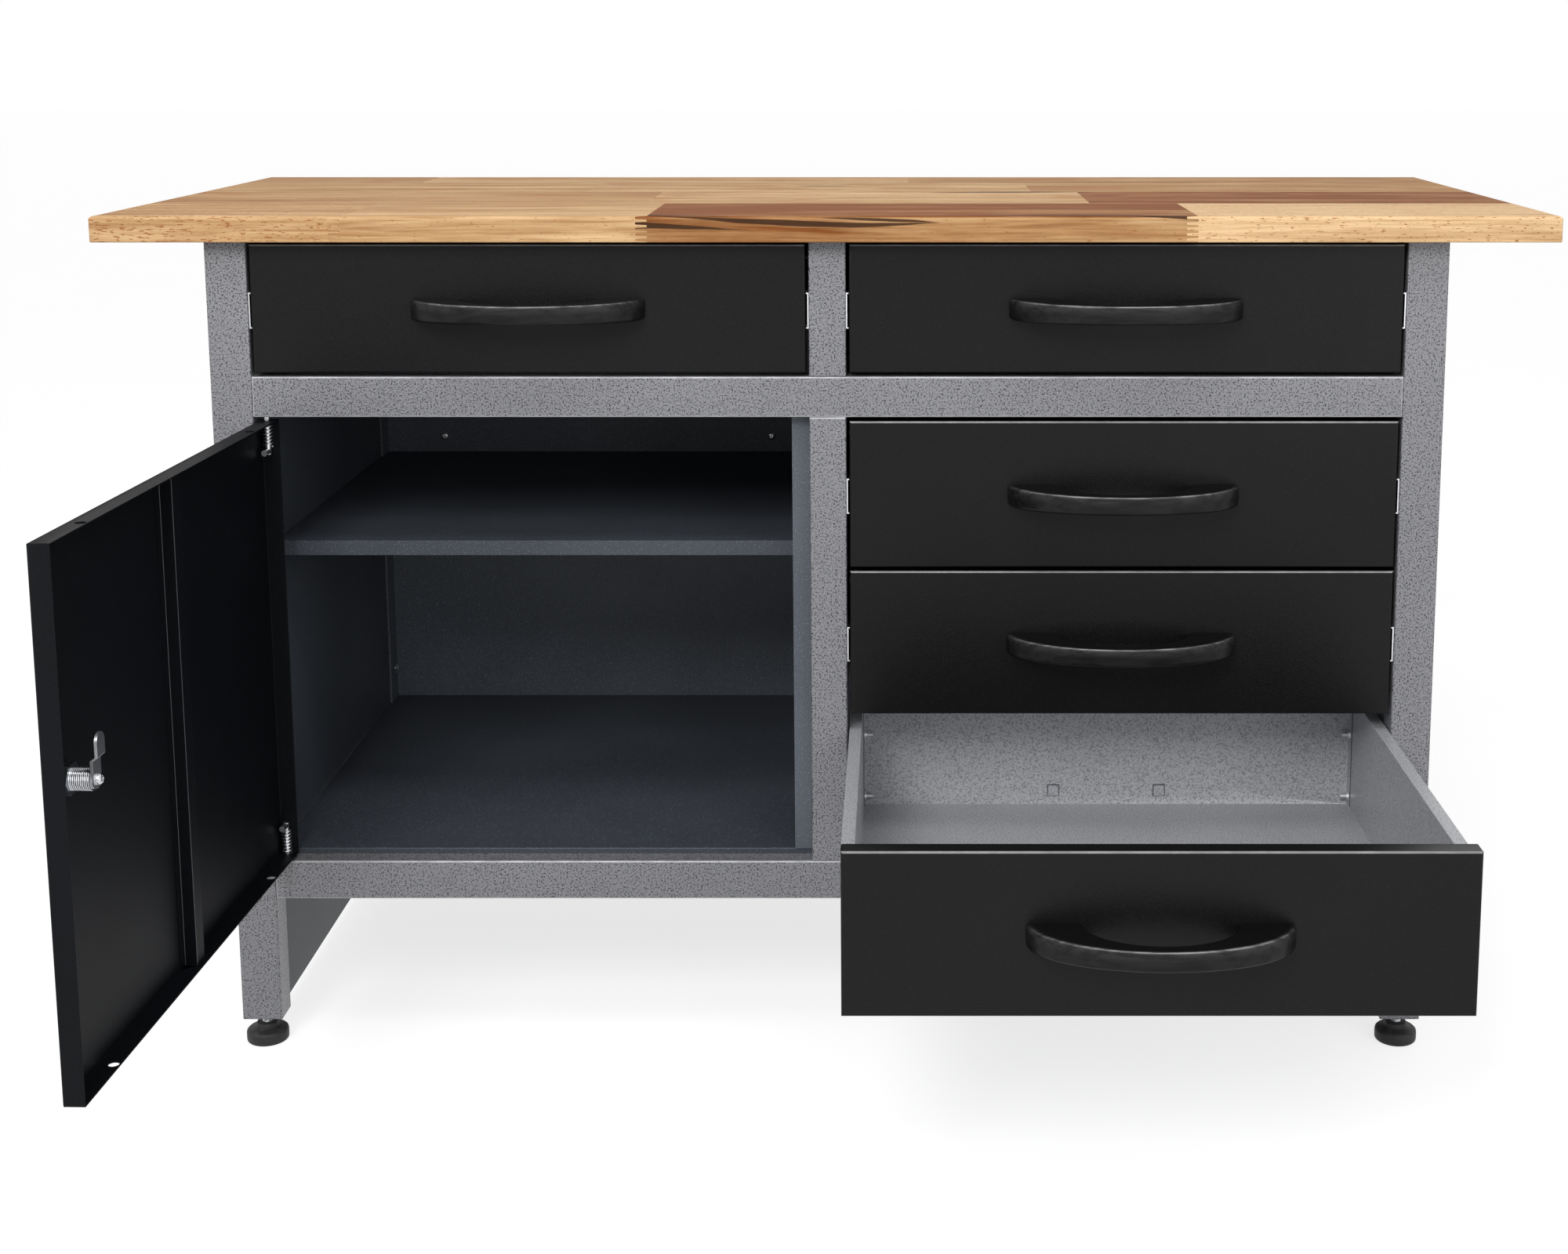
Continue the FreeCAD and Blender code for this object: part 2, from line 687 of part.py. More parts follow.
# The cam lock: a threaded body through the door, its nut, and a plug that turns the cam behind the strike.
lock_end = f"({skin_inside} + lock_length)"
bore = "plug_size + 2 * plug_fit"
head = rod(lock_x, f"{skin} - lock_head_rise", lock_z, "lock_head", "lock_head_rise", TO_BACK)
head = rounded(head, "lock_head_rounding", "-y")
barrel = rod(lock_x, skin, lock_z, "lock_size", f"{lock_end} - {skin}", TO_BACK)
plug_run = f"{lock_end} - {skin} + lock_head_rise"
lock_bore = rod(
    lock_x, f"{skin} - lock_head_rise - {beyond}", lock_z, bore, f"{plug_run} + 2 * overrun", TO_BACK)
hang("lock_body", cut(join(head, barrel), lock_bore))

nut = doc.addObject("Part::Prism", "nut")
nut.Polygon = 6
nut.setExpression("Circumradius", formula("nut_flats / 2 / cos(30 deg)"))
nut.setExpression("Height", formula("nut_thickness"))
nut.Placement = FreeCAD.Placement(FreeCAD.Vector(), TO_BACK)
place(nut, lock_x, skin_inside, lock_z)
nut_run = "nut_thickness + 2 * overrun"
nut_bore = rod(lock_x, f"{skin_inside} - {beyond}", lock_z, "lock_size", nut_run, TO_BACK)
hang("lock_nut", cut(nut, nut_bore))

plug = rod(lock_x, f"{skin} - lock_head_rise", lock_z, "plug_size", plug_run, TO_BACK)
slot = box(
    (f"{lock_x} - key_slot / 2", f"{lock_x} + key_slot / 2"),
    (f"{skin} - lock_head_rise - {beyond}", f"{skin} - lock_head_rise + key_slot_depth"),
    (f"{lock_z} - key_slot_length / 2", f"{lock_z} + key_slot_length / 2"),
)
hang("lock_plug", cut(plug, slot))

cam_back = f"({lock_end} + cam_sheet)"
cam_knee = f"({lock_z} + cam_reach / 2)"
cam_x = (f"{lock_x} - cam_width / 2", f"{lock_x} + cam_width / 2")
root = box(cam_x, (lock_end, cam_back), (f"{lock_z} - cam_width / 2", cam_knee))
step_y = (f"{lock_end}", f"{cam_back} + cam_joggle")
step = box(cam_x, step_y, (f"{cam_knee} - cam_sheet", cam_knee))
tongue_y = (f"{lock_end} + cam_joggle", step_y[1])
tongue = box(cam_x, tongue_y, (f"{cam_knee} - cam_sheet", f"{lock_z} + cam_reach"))
hang("lock_cam", join(root, step, tongue))
hang("cam_screw", group(rod(lock_x, cam_back, lock_z, "cam_screw_size", "cam_screw_rise", TO_BACK)))

# Screws: the top is held from below, the back by its side flanges, and the shelf's heel to the back.
flange_under = f"({top_underside} - panel_sheet)"
top_screws = []
for side in SIDES.values():
    for end_y in (f"{front} + frame_depth / 4", f"{back} - frame_depth / 4"):
        middle_x = f"{side} * ({bay_edge} + frame_sheet + top_flange / 2)"
        top_screws.append((middle_x, end_y))
    top_screws.append((f"{side} * {bay_middle}", f"{back} - top_flange / 2"))
node("worktop_screws", group(*[
    screw((x, y, flange_under), "z", 1, "panel_sheet + wood_screw_bite") for x, y in top_screws
]))

frame_screws = []
for side in SIDES.values():
    seat_x = f"{side} * ({bay_edge} - panel_sheet)"
    seat_y = f"{back} - panel_flange / 2"
    for number in range(BACK_SCREWS):
        share = (number + 0.5) / BACK_SCREWS
        level = f"bottom_rail_bottom + {share} * ({top_underside} - bottom_rail_bottom)"
        frame_screws.append(screw((seat_x, seat_y, level), "x", side, "screw_length"))
    shelf_x = f"-{bay_middle} + {side} * ({bay} / 2 - shelf_screw_inset)"
    shelf_z = f"{shelf_top} + screw_inset + screw_head"
    frame_screws.append(screw((shelf_x, wall_back, shelf_z), "y", 1, "2 * panel_sheet"))
node("frame_screws", group(*frame_screws))

doc.recompute()
for thing in doc.Objects:
    if "Invalid" in thing.State or "Error" in thing.State:
        raise RuntimeError(f"{thing.Label} is {thing.State}")
os.makedirs("parts", exist_ok=True)
for label, thing in NODES.items():
    if thing.Shape.isNull() or not thing.Shape.isValid():
        raise RuntimeError(f"{label} has no valid shape")
for label, thing in NODES.items():
    thing.Shape.exportStep(f"parts/{label}.step")
print(len(NODES), "nodes written")
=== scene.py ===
import bmesh
import bpy
import numpy as np
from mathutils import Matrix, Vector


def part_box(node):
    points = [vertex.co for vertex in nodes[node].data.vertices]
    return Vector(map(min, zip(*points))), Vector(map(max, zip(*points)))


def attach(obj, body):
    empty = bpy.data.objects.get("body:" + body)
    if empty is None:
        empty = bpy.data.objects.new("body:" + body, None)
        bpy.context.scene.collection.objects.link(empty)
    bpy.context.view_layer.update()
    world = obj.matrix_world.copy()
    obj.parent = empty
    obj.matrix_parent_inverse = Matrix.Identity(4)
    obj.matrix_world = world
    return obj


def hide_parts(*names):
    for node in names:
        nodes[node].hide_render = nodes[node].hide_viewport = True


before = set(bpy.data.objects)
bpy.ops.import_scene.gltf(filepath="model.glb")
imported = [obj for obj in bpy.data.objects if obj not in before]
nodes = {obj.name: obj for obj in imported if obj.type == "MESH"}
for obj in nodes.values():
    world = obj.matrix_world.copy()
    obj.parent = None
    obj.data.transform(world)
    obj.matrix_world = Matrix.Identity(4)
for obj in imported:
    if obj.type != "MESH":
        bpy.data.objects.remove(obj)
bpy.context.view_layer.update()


# Frame: legs, rails and posts folded from 1.5 mm steel sheet and welded together. They are sprayed with
# grey hammertone enamel, which dries into shallow dimples with darker pits between them.
class Socket:
    """One output of a shader node. Sums on it add Math nodes, and node() adds any other kind."""

    def __init__(self, output):
        self.output = output

    def node(self, kind, sockets, out=0, stops=(), **settings):
        """Adds a node: its settings first, with a ramp's stops, then its sockets' values or links."""
        tree = self.output.id_data
        made = tree.nodes.new("ShaderNode" + kind)
        for name, setting in settings.items():
            setattr(made, name, setting)
        for number, (position, colour) in enumerate(stops):
            ramp = made.color_ramp.elements
            stop = ramp[number] if number < len(ramp) else ramp.new(position)
            stop.position, stop.color = position, (*colour, 1)
        for name, given in sockets.items():
            if isinstance(given, Socket):
                tree.links.new(given.output, made.inputs[name])
            else:
                made.inputs[name].default_value = given
        return Socket(made.outputs[out])

    def sum(self, operation, first, second=0.0):
        return self.node("Math", {0: first, 1: second}, operation=operation)

    def __add__(self, other):
        return self.sum("ADD", self, other)

    def __sub__(self, other):
        return self.sum("SUBTRACT", self, other)

    def __rsub__(self, other):
        return self.sum("SUBTRACT", other, self)

    def __mul__(self, other):
        return self.sum("MULTIPLY", self, other)

    def __truediv__(self, other):
        return self.sum("DIVIDE", self, other)

    def __gt__(self, other):
        return self.sum("GREATER_THAN", self, other)

    def __abs__(self):
        return self.sum("ABSOLUTE", self)

    __radd__, __rmul__ = __add__, __mul__

    def axis(self, number):
        """One of a vector's X, Y and Z."""
        return self.node("SeparateXYZ", {0: self}, out=number)

    def stretched(self, x, y, z):
        """A vector scaled differently along its axes."""
        return self.node("VectorMath", {0: self, 1: (x, y, z)}, operation="MULTIPLY")

    def moved(self, other):
        """A vector with another one added."""
        return self.node("VectorMath", {0: self, 1: other}, operation="ADD")

    def noise(self, scale, detail=2.0, roughness=0.5, distortion=0.0):
        """Noise from about 0.25 to 0.75, with scale waves to the metre."""
        return self.node("TexNoise", {"Vector": self, "Scale": scale, "Detail": detail,
                                      "Roughness": roughness, "Distortion": distortion})

    def rise(self, low, high):
        """Goes smoothly from 0 at low to 1 at high, or down again if low is the larger."""
        turned = low > high
        sockets = {"Value": self, "From Min": min(low, high), "From Max": max(low, high),
                   "To Min": float(turned), "To Max": float(not turned)}
        return self.node("MapRange", sockets, interpolation_type="SMOOTHSTEP")

    def mix(self, without, with_it):
        """A colour that goes from one to another as this goes from 0 to 1."""
        def rgba(colour):
            return colour if isinstance(colour, Socket) else (*colour, 1)
        return self.node("Mix", {0: self, 6: rgba(without), 7: rgba(with_it)}, out=2, data_type="RGBA")


def new_finish(name, **constants):
    """A new material with its constant sockets set, and each point's place on the object."""
    material = bpy.data.materials.new(name)
    material.use_nodes = True
    tree = material.node_tree
    for socket, constant in constants.items():
        tree.nodes["Principled BSDF"].inputs[socket.replace("_", " ")].default_value = constant
    return material, Socket(tree.nodes.new("ShaderNodeTexCoord").outputs["Object"])


def shade(material, colour=None, roughness=None, height=None, depth=0.0, strength=1.0):
    """Links what changes over a surface to its shader. A height becomes a bump, depth metres deep."""
    tree = material.node_tree
    inputs = tree.nodes["Principled BSDF"].inputs
    if height is not None:
        bump = {"Height": height, "Distance": depth, "Strength": strength}
        tree.links.new(height.node("Bump", bump).output, inputs["Normal"])
    for socket, given in (("Base Color", colour), ("Roughness", roughness)):
        if given is not None:
            tree.links.new(given.output, inputs[socket])


def coat(material, *names):
    """Puts a material on CAD nodes."""
    for name in names:
        for slot in nodes[name].material_slots:
            slot.material = material


def fit_out(piece, material, body, slot, *replaced):
    """Gives a piece its material and its body, and hides the CAD nodes that it stands for.
    slot, the record's finish, is not used.
    """
    piece.data.materials.append(material)
    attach(piece, body)
    if replaced:
        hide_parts(*replaced)


SAME_PLACE = 1e-6                   # points closer than this are one
ONE_PLANE = np.radians(0.5)         # faces at a smaller angle lie in one plane
HARD = np.radians(35)               # faces at a larger angle meet in an edge
THICKEST_SHEET = 0.0025             # a narrower face is the cut edge of a sheet
SQUARE = 0.975                      # a normal with no part above this is aslant
UPWARD = 0.2                        # one whose Z is above this looks up, and its bends take the painted highlight


def softened(name, material, body, slot, width, highlight_paint=None, everywhere=False):
    """A copy of a CAD node whose bends are rounded. Triangles in one plane are merged into one face first,
    and an edge is a bend if the faces on both its sides are wider than the sheet is thick. Faces that look
    aslant lie on the CAD's own bends. Those that look up take the painted highlight, a pale paint that
    stands in for the shine of the lamps above, and where it goes everywhere, the others and the bends
    rounded here take it too."""
    def broad(face):
        return face.calc_area() / max(edge.calc_length() for edge in face.edges) > THICKEST_SHEET

    shape = bmesh.new()
    shape.from_mesh(nodes[name].data)
    bmesh.ops.remove_doubles(shape, verts=shape.verts, dist=SAME_PLACE)
    bmesh.ops.dissolve_limit(shape, angle_limit=ONE_PLANE, verts=shape.verts, edges=shape.edges)
    weight = shape.edges.layers.float.new("bevel_weight_edge")
    for edge in shape.edges:
        hard = edge.calc_face_angle(0) > HARD
        edge[weight] = float(hard and all(broad(face) for face in edge.link_faces))
        edge.smooth = not hard
    if highlight_paint:
        for face in shape.faces:
            aslant = max(abs(part) for part in face.normal) < SQUARE
            face.material_index = int(aslant and (everywhere or face.normal.z > UPWARD))
    mesh = bpy.data.meshes.new(f"{name}_bent")
    shape.to_mesh(mesh)
    shape.free()
    mesh.shade_smooth()
    piece = bpy.data.objects.new(f"{name}_bent", mesh)
    bpy.context.scene.collection.objects.link(piece)
    rounding = piece.modifiers.new("rounding", "BEVEL")
    rounding.limit_method = "WEIGHT"
    rounding.width, rounding.segments, rounding.harden_normals = width, 3, True
    fit_out(piece, material, body, slot, name)
    if highlight_paint:
        piece.data.materials.append(highlight_paint)
        rounding.material = 1 if everywhere else -1


def bend_highlight_paint(name, colour):
    """A painted highlight on the outside of a bend: pale paint in soft patches, standing in for the lamps'
    shine.
    """
    material, spot = new_finish(name, Specular_IOR_Level=0.5)
    patches = spot.noise(40, 4, 0.65)
    highlight_share = patches.rise(0.35, 0.65)
    shade(material, highlight_share.mix(tuple(0.7 * part for part in colour), colour), 0.3 - highlight_share * 0.1)
    return material


def hammertone(name, pale, dark):
    """Hammered enamel: 1.6 mm dimples from one noise, dark pits where it is lowest, sparks where it is
    highest, and a broad drift of tone."""
    material, spot = new_finish(name, Metallic=0.15, Specular_IOR_Level=0.35,
                                Coat_Weight=0.3, Coat_Roughness=0.2)
    dimples = spot.noise(620, 2, 0.55, 0.4)
    drift = spot.noise(7, 2)
    pits = dimples.rise(0.475, 0.39) * 0.95
    sparks = dimples.rise(0.57, 0.69) * 0.5
    tone = drift.rise(0.3, 0.7).mix(pale, tuple(0.93 * part for part in pale))
    colour = sparks.mix(pits.mix(tone, dark), tuple(1.35 * part for part in pale))
    shade(material, colour, 0.34 + dimples * 0.22, dimples, 0.0007, 0.7)
    return material


enamel = hammertone("hammertone_grey", (0.252, 0.253, 0.27), (0.032, 0.032, 0.039))
# Pale paint on the bends is a painted highlight: on the legs' and posts' upward bends, and on all the
# rails' bends.
enamel_bend_highlight = bend_highlight_paint("painted_highlight_enamel", (0.56, 0.56, 0.58))
FRAME_BEND = 0.0018
CORNERS = [f"{side}_{end}" for side in ("left", "right") for end in ("front", "rear")]
for name in (*[f"{corner}_leg" for corner in CORNERS], "upper_post", "lower_post"):
    softened(name, enamel, "frame", "hammer_paint", FRAME_BEND, enamel_bend_highlight)
for name in ("middle_rail", "bottom_rail"):
    softened(name, enamel, "frame", "hammer_paint", FRAME_BEND, enamel_bend_highlight, everywhere=True)


# Back, sides, partition, cupboard floor and shelf: thin sheet in a dark blue-grey powder coat with a very
# fine orange peel, screwed and spot welded between the legs and posts. The floor, shelf and sides take a
# darker copy of the same coat, as painted shade.
def powder_coat(name, pale, dark, rough, grain, **constants):
    """Satin powder coat: a fine orange peel whose crests are paler, and a slow drift of tone."""
    material, spot = new_finish(name, **constants)
    peel = spot.noise(grain, 2, 0.55)
    drift = spot.noise(5, 3)
    specks = peel.rise(0.56, 0.72) * 0.55
    colour = specks.mix(drift.rise(0.3, 0.7).mix(pale, dark), tuple(3 * part for part in pale))
    shade(material, colour, rough + peel * 0.16 + drift * 0.08, peel, 0.24 / grain, 0.6)
    return material


SHEET_BEND = 0.0013
slate = powder_coat("slate_blue", (0.1, 0.116, 0.138), (0.078, 0.09, 0.11), 0.34, 620,
                    Specular_IOR_Level=0.4)
for name in ("partition", "back_panel"):
    softened(name, slate, "frame", "slate_paint", SHEET_BEND)
# The same blue-grey painted darker, as painted shade on the cupboard's floor, shelf and sides.
slate_painted_darker = powder_coat("slate_grey_painted_darker", (0.06, 0.069, 0.083), (0.047, 0.054, 0.066), 0.34, 620,
                   Specular_IOR_Level=0.3)
for name in ("cupboard_floor", "cupboard_shelf", "left_side_panel", "right_side_panel"):
    softened(name, slate_painted_darker, "frame", "slate_paint", SHEET_BEND)


# Screws: zinc plated pan heads with a cross recess. They hold the back by its side flanges, the shelf's
# heel to the back, and the top from below through the panels' flanges.
def zinc_plate(name, colour, rough):
    """Zinc plating: soft cloudy spangles and fine scratches in the roughness."""
    material, spot = new_finish(name, Metallic=1.0)
    cloud = spot.noise(60, 4, 0.6)
    scratch = spot.stretched(1, 12, 12).noise(160, 2)
    tint = cloud.rise(0.3, 0.7).mix(colour, tuple(0.8 * part for part in colour))
    shade(material, tint, rough + cloud * 0.16 + scratch * 0.1, scratch, 0.00004, 0.5)
    return material


CREASE = np.radians(38)             # faces of a turned or drawn piece that meet at more look sharp


def joined(name, *grids):
    """One mesh from several grids of points (rows, columns, 3). A cell of a grid is one quad.

    Each grid comes with two flags: whether its last row joins its first, and its last column its first.
    Points that meet are merged, the ends of open tubes are closed, and the faces look outwards.
    """
    points, quads, count = [], [], 0
    for grid, rows_meet, columns_meet in grids:
        rows, columns = grid.shape[:2]
        row = np.arange(rows if rows_meet else rows - 1)[:, None]
        column = np.arange(columns if columns_meet else columns - 1)[None, :]
        near, far = row * columns, (row + 1) % rows * columns
        left, right = column, (column + 1) % columns
        cells = np.stack([near + left, near + right, far + right, far + left], -1)
        quads.append(cells.reshape(-1, 4) + count)
        points.append(grid.reshape(-1, 3))
        count += rows * columns
    mesh = bpy.data.meshes.new(name)
    mesh.from_pydata(np.concatenate(points).tolist(), [], np.concatenate(quads).tolist())
    shape = bmesh.new()
    shape.from_mesh(mesh)
    bmesh.ops.remove_doubles(shape, verts=shape.verts, dist=SAME_PLACE)
    bmesh.ops.holes_fill(shape, edges=[edge for edge in shape.edges if edge.is_boundary])
    bmesh.ops.recalc_face_normals(shape, faces=shape.faces)
    shape.to_mesh(mesh)
    shape.free()
    mesh.shade_smooth()
    mesh.set_sharp_from_angle(angle=CREASE)
    piece = bpy.data.objects.new(name, mesh)
    bpy.context.scene.collection.objects.link(piece)
    return piece


def square_to(way):
    """Two directions square to a way and to each other. The first is level, unless the way is upright."""
    side = np.cross(way, (0, 0, 1) if abs(way[2]) < 0.9 else (1, 0, 0))
    side = side / np.linalg.norm(side)
    return side, np.cross(way, side)


def turned(profile, seat, way, steps=32):
    """A shape turned on a lathe: the profile's (radius, height) pairs carried round an axis at a seat."""
    side, other = square_to(way)
    round_way = np.linspace(0, 2 * np.pi, steps, endpoint=False)[None, :, None]
    radius, height = np.asarray(profile, float).T[:, :, None, None]
    ring = np.cos(round_way) * side + np.sin(round_way) * other
    return np.asarray(seat, float) + radius * ring + height * np.asarray(way, float)


def pan_head(seat, way, size=0.009, rise=0.0022):
    """A domed screw head on a seat, looking along way, with a cross pressed into its crown.

    The dome falls with the fourth power of the radius. The cross is deep where the smaller of the two
    distances across the head is within an arm's half width and the larger is within its length.
    """
    share = np.linspace(0, 1, 15)
    profile = np.stack([np.append(share, 1) * size / 2, np.append(rise * (1 - 0.55 * share ** 4), 0)], 1)
    head = turned(profile, seat, way, steps=40)
    across = head - np.asarray(seat, float)
    u, v = (np.abs(across @ direction) for direction in square_to(way))
    arm, length, edge = 0.07 * size, 0.3 * size, 0.04 * size
    cross = np.clip((arm - np.minimum(u, v)) / edge, 0, 1)
    cross = cross * np.clip((length - np.maximum(u, v)) / edge, 0, 1)
    return head - (0.6 * rise * cross)[..., None] * np.asarray(way, float), False, True


zinc = zinc_plate("zinc_plate", (0.78, 0.79, 0.81), 0.2)
SHEET = 0.001
front_y, back_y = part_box("left_front_leg")[0].y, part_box("left_rear_leg")[1].y
sole_z, top_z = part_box("back_panel")[0].z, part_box("worktop")[0].z

# Four in each wing of the back, and two in the shelf's heel.
WING_X, WING_INSET, WING_SCREWS = 0.559, 0.0075, 4
HEEL_XS, HEEL_RISE = (-0.490, -0.088), 0.019
wing_levels = sole_z + (np.arange(WING_SCREWS) + 0.5) / WING_SCREWS * (top_z - sole_z)
heel_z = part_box("cupboard_shelf")[1].z + HEEL_RISE
frame_heads = [
    pan_head((side * WING_X, back_y - WING_INSET, level), (-side, 0, 0))
    for side in (-1, 1) for level in wing_levels
]
frame_heads += [pan_head((x, back_y - SHEET, heel_z), (0, -1, 0)) for x in HEEL_XS]
fit_out(joined("frame_screw_heads", *frame_heads), zinc, "frame", "zinc", "frame_screws")

# Two in the upper flange of each side panel, and two in the back's.
SIDE_FLANGE_X, SIDE_FLANGE_INSET = 0.5765, 0.13625
BACK_FLANGE_X, BACK_FLANGE_INSET = 0.289, 0.015
top_seats = [
    (side * SIDE_FLANGE_X, y)
    for side in (-1, 1) for y in (front_y + SIDE_FLANGE_INSET, back_y - SIDE_FLANGE_INSET)
]
top_seats += [(side * BACK_FLANGE_X, back_y - BACK_FLANGE_INSET) for side in (-1, 1)]
top_heads = [pan_head((*seat, top_z - SHEET), (0, 0, -1)) for seat in top_seats]
fit_out(joined("worktop_screw_heads", *top_heads), zinc, "frame", "zinc", "worktop_screws")

# Runners: channels rolled from zinc plated strip, one on the cabinet and one on the drawer, with a cage
# of balls between them.
DRAWERS = ("upper_left", "upper_right", "third", "middle", "bottom")
for name in DRAWERS:
    coat(zinc, f"{name}_drawer_runners", f"{name}_drawer_ball_cages")
coat(zinc, "cabinet_runners")
TIP_START, TIP_END, TIP_GAP = 0.0025, 0.0208, 0.0029


def runner_tip(wall, way, level):
    """The folded stop at a channel's front end: a [ section in the gap beside a front, carried along Y."""
    half, sheet, lip = 0.0175, 0.0012, 0.0024
    section = np.array([(0, -half), (lip, -half), (lip, sheet - half), (sheet, sheet - half),
                        (sheet, half - sheet), (lip, half - sheet), (lip, half), (0, half)])
    along = np.array([front_y + TIP_START, front_y + TIP_END])[:, None]
    x, z = wall + way * section[None, :, 0], level + section[None, :, 1]
    return np.stack(np.broadcast_arrays(x, along, z), -1), False, True


tips = []
for name in DRAWERS:
    low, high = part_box(f"{name}_drawer_front")
    level = sum(corner.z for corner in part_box(f"{name}_drawer_tray")) / 2
    tips += [runner_tip(low.x - TIP_GAP, 1, level), runner_tip(high.x + TIP_GAP, -1, level)]
fit_out(joined("runner_tips", *tips), zinc, "frame", "zinc")


# Drawer trays: folded from one sheet and sprayed in the frame's hammertone, with a separate back that is
# held in each corner by two zinc pins and has two squares lanced out of it. Their hammertone is painted
# much paler than the frame's, as painted light inside the drawers, and dark rings and strips in the slits
# and seams are painted shade.
def slit_shadow_ring(x, y, z, half=0.0055, width=0.0009, rise=0.0004):
    """Painted shade in the slit round a lanced square: a small rectangle carried round the square."""
    across, up = np.array([(-1, -1), (1, -1), (1, 1), (-1, 1)]).T[:, None, :]
    reach, out = np.array([(half, 0), (half + width, 0), (half + width, rise), (half, rise)]).T[:, :, None]
    return np.stack(np.broadcast_arrays(x + reach * across, y - out, z + reach * up), -1), True, True


def upright(x, way, y, levels, half=0.0007, rise=0.0005):
    """Painted shade in the seam before a back's flange: a small rectangle carried straight up the wall."""
    section = np.array([(0, -half), (rise, -half), (rise, half), (0, half)])
    across, along = section.T[:, None, :]
    up = np.array(levels)[:, None]
    return np.stack(np.broadcast_arrays(x + way * (across - SHEET), y + along, up), -1), False, True


PIN_PROFILE = np.array([
    (0, 9), (1.6, 9), (2.4, 8.2), (2.4, 1.6), (4.2, 1.4), (4.4, 1), (4.4, 0), (0, 0),
]) / 1000
PIN_INSET, PIN_LEVELS = 0.0062, (0.09, 0.67)
SEAM_GAP, LANCE_X, LANCE_Z = 0.0008, 0.056, 0.0155
# The pins' zinc is painted paler than the rest, as painted light on them in the shade of the tray.
zinc_painted_brighter = zinc_plate("zinc_painted_brighter", (0.92, 0.925, 0.94), 0.4)
# The frame's hammertone painted paler: painted light on the trays.
tray_enamel_painted_lighter = hammertone("tray_hammertone_painted_lighter", (0.47, 0.477, 0.5), (0.25, 0.254, 0.27))
for name in DRAWERS:
    for part in ("tray", "back"):
        softened(f"{name}_drawer_{part}", tray_enamel_painted_lighter, f"{name}_drawer", "hammer_paint", SHEET_BEND)
    low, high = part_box(f"{name}_drawer_back")
    flanges = ((low.x + SHEET, 1), (high.x - SHEET, -1))
    levels = [low.z + share * (high.z - low.z) for share in PIN_LEVELS]
    pins = [
        (turned(PIN_PROFILE, (x, high.y - PIN_INSET, level), (way, 0, 0), steps=28), False, True)
        for x, way in flanges for level in levels
    ]
    fit_out(joined(f"{name}_corner_pins", *pins), zinc_painted_brighter, f"{name}_drawer", "zinc")
    # Dark rings and strips on the back are painted shade in its lanced slits and its seams.
    seam_shadows = [upright(x, way, low.y - SEAM_GAP, (low.z + SHEET, high.z - SHEET)) for x, way in flanges]
    middle = (low.x + high.x) / 2
    slit_shadows = [slit_shadow_ring(middle + side * LANCE_X, high.y - SHEET, low.z + LANCE_Z) for side in (-1, 1)]
    fit_out(joined(f"{name}_lance_slit_shadows", *seam_shadows, *slit_shadows), slate_painted_darker, f"{name}_drawer", "black_paint")

# Drawer fronts: pans of sheet with folded returns, spot welded to the trays, in a satin black powder coat.
# A pale painted highlight lies along their upper bends.
black = powder_coat("satin_black", (0.0054, 0.0054, 0.0056), (0.004, 0.004, 0.0042), 0.2, 1000,
                    Specular_IOR_Level=0.17)
black_bend_highlight = bend_highlight_paint("painted_highlight_black", (0.26, 0.26, 0.262))
for name in DRAWERS:
    softened(f"{name}_drawer_front", black, f"{name}_drawer", "black_paint", SHEET_BEND, black_bend_highlight)


# Handles: bows moulded in black plastic, screwed on from inside the front. A pale painted highlight lies
# along the upper front edge of each bow, in streaky patches.
FINGER_GAP = np.array((0.065, 0.043))   # half its width, and its reach
WAIST = 0.86                            # height at the middle of the bow, as a share of that at its feet
SQUARENESS = 2 / 8                      # power of the section's superellipse: 1 is round, 0 is square


def bow(low, high):
    """A rounded section carried round a half ellipse: it spans the inner and the outer half ellipse of the
    bow, and grows taller towards the two feet. Both parameters run over the section and along the bow.
    The painted highlight is a bell over the upper front edge; a little of it lies on the front above
    the middle."""
    along = np.linspace(0, np.pi, 97)[:, None]
    round_way = np.linspace(0, 2 * np.pi, 48, endpoint=False)[None, :]
    outer = np.array(((high.x - low.x) / 2, high.y - low.y))
    out = np.sign(np.cos(round_way)) * np.abs(np.cos(round_way)) ** SQUARENESS
    up = np.sign(np.sin(round_way)) * np.abs(np.sin(round_way)) ** SQUARENESS
    reach = (outer + FINGER_GAP) / 2 + out[..., None] * (outer - FINGER_GAP) / 2
    tall = (high.z - low.z) * (WAIST + (1 - WAIST) * np.cos(along) ** 2)
    middle = (low + high) / 2
    grid = np.stack([
        middle.x + np.cos(along) * reach[..., 0],
        high.y - np.sin(along) * reach[..., 1],
        middle.z + up * tall / 2,
    ], -1)
    edge = np.exp(-((round_way - np.pi / 4) / 0.24) ** 2) * np.sin(along)
    face = (0.03 + 0.16 * np.clip(up, 0, 1) ** 2) * (np.cos(round_way) > 0.75)
    handle_highlight = np.maximum(edge, face) * np.sin(along) ** 0.4
    return grid, handle_highlight


plastic, spot = new_finish("moulded_black", Specular_IOR_Level=0.15)
grain = spot.noise(1500, 2)
scuffs_and_highlight_patches = spot.stretched(0.3, 3, 3).noise(60, 4, 0.65)
